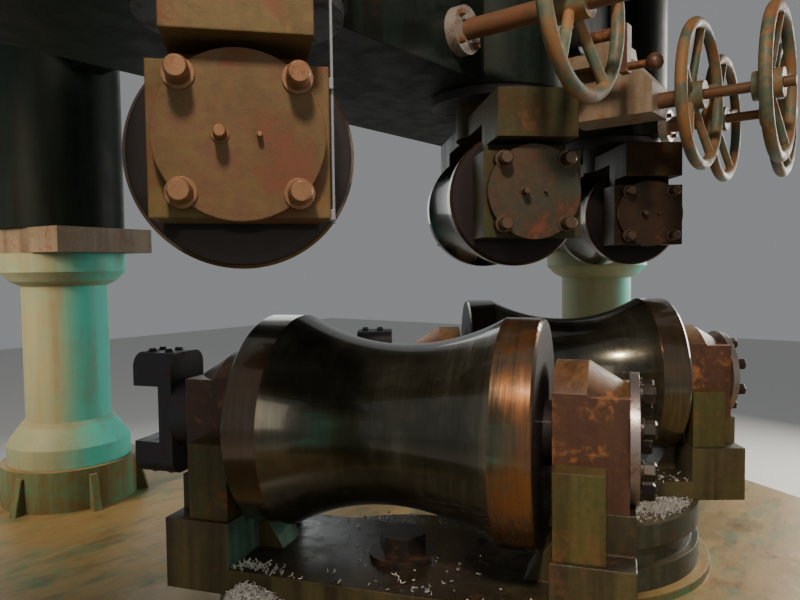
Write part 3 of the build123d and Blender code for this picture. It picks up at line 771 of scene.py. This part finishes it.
anchorNuts = {"ledge": 0.330, "top": 0.060, "shares": (0.125, 0.375, 0.625, 0.875),
              "sizes": {"Head Width": 0.046, "Head Height": 0.030, "Collar Width": 0.060,
                        "Collar Height": 0.005, "Seed": 6}}
seats = []
for start, following in zip(columnCenters, columnCenters[1:] + columnCenters[:1]):
    run = following - start
    outward = Vector((-run.y, run.x, 0)).normalized()
    if outward.dot(start) < 0:
        outward.negate()
    for share in anchorNuts["shares"]:
        seat = start + run * share + outward * anchorNuts["ledge"]
        seats.append(((seat.x, seat.y, anchorNuts["top"]), (0, 0, 1)))
grow(hexHeads, "anchor_nuts", seats, "frame", anchorNuts["sizes"])

# Gussets stiffen each column's boss

bossGusset = {"count": 6, "turned": 0.35, "radius": 0.277, "reach": 0.052, "topShare": 0.25,
              "thick": 0.034, "low": 0.593, "high": 0.744, "bevel": 0.004}


def addGusset(bm, boss, angle):
    radial = Vector((math.cos(angle), math.sin(angle), 0))
    across = Vector((-radial.y, radial.x, 0)) * bossGusset["thick"] / 2
    foot = boss + radial * bossGusset["radius"]
    low = Vector((0, 0, bossGusset["low"]))
    high = Vector((0, 0, bossGusset["high"]))
    outline = [foot + low, foot + high,
               foot + radial * bossGusset["reach"] * bossGusset["topShare"] + high,
               foot + radial * bossGusset["reach"] + low]
    left = [bm.verts.new(point + across) for point in outline]
    right = [bm.verts.new(point - across) for point in outline]
    bm.faces.new(left)
    bm.faces.new(right[::-1])
    for corner in range(4):
        after = (corner + 1) % 4
        bm.faces.new((left[corner], right[corner], right[after], left[after]))


gussets = bmesh.new()
for center in columnCenters:
    for angle in anglesRound(bossGusset["count"], bossGusset["turned"]):
        addGusset(gussets, center, angle)
ridden("boss_gussets", gussets, mint, "frame", bossGusset["bevel"])
print("anchor nuts and gussets made")

# Coarse thread stands out of the column nuts

threadFoot = 3.100
grow(threadRecipe(steels["darkBolt"]), "column_threads",
     [((center.x, center.y, threadFoot), (0, 0, 1)) for center in columnCenters], "frame")
print("threads grown")

# Bright metal chips lie in heaps and loose on both turntables. A heap is the station and the offset of its
# middle, its spread, its height and how many chips are thrown

chipHeaps = {"front": [(-0.30, -0.245, 0.045, 0.060, 1500), (0.25, -0.30, 0.09, 0.012, 300),
                       (0.05, -0.12, 0.12, 0.004, 60), (-0.15, 0.31, 0.09, 0.012, 220)],
             "rear": [(0.27, -0.28, 0.070, 0.024, 1100), (0.05, -0.34, 0.08, 0.012, 260),
                      (0.10, -0.12, 0.12, 0.004, 160), (0.05, 0.32, 0.10, 0.012, 250)]}
chipSeeds = {"front": 11, "rear": 23}
chipBed = {"tableRadius": 0.43, "tableTop": 0.820, "cradleHalf": 0.20, "cradleFloor": 0.882,
           "pedestalStart": 0.37, "margin": 0.006, "lift": 0.004, "narrowed": 0.7}
chips = chipRecipe(steels["brightSteel"])
for place, heaps in chipHeaps.items():
    turn = joints[place + "_roll_turn"]
    luck = random.Random(chipSeeds[place])
    seats = []
    for station, sideways, spread, height, count in heaps:
        for _ in range(count):
            along = luck.gauss(station, spread)
            across = luck.gauss(sideways, spread * chipBed["narrowed"])
            if math.hypot(along, across) > chipBed["tableRadius"]:
                continue
            if (abs(along) > chipBed["pedestalStart"]
                    and abs(across) < chipBed["cradleHalf"] + chipBed["margin"]):
                continue
            inCradle = abs(across) < chipBed["cradleHalf"]
            floor = chipBed["cradleFloor"] if inCradle else chipBed["tableTop"]
            far = math.hypot(along - station, across - sideways) / (2 * spread)
            point = onAxis(turn, along, across)
            point.z = floor + chipBed["lift"] + luck.random() * height * max(0.0, 1.0 - far)
            seats.append((point, (0, 0, 1)))
    grow(chips, "metal_chips_" + place, seats, "table_" + place)
print("chips grown")

# A pale steel rule hangs beside the first housing, in two clips

rule = {"station": 0.335, "sideways": 0.129, "bottom": 1.664, "top": 2.020, "width": 0.010, "thick": 0.004,
        "bevel": 0.0008}
ruleClips = {"overBottom": 0.012, "upper": 1.862, "behind": 0.003, "width": 0.022, "thick": 0.009,
             "tall": 0.016}
turn = joints["entry_top_roll_turn"]
along, across = directions(turn)
bm = bmesh.new()
middle = onAxis(turn, rule["station"], rule["sideways"])
middle.z = (rule["bottom"] + rule["top"]) / 2
addBox(bm, middle, along * rule["width"], across * rule["thick"],
       Vector((0, 0, rule["top"] - rule["bottom"])))
for height in (rule["bottom"] + ruleClips["overBottom"], ruleClips["upper"]):
    clip = onAxis(turn, rule["station"], rule["sideways"] - ruleClips["behind"])
    clip.z = height
    addBox(bm, clip, along * ruleClips["width"], across * ruleClips["thick"],
           Vector((0, 0, ruleClips["tall"])))
ridden("steel_rule", bm, steels["paleSteel"], "yoke_entry", rule["bevel"])
print("rule made")
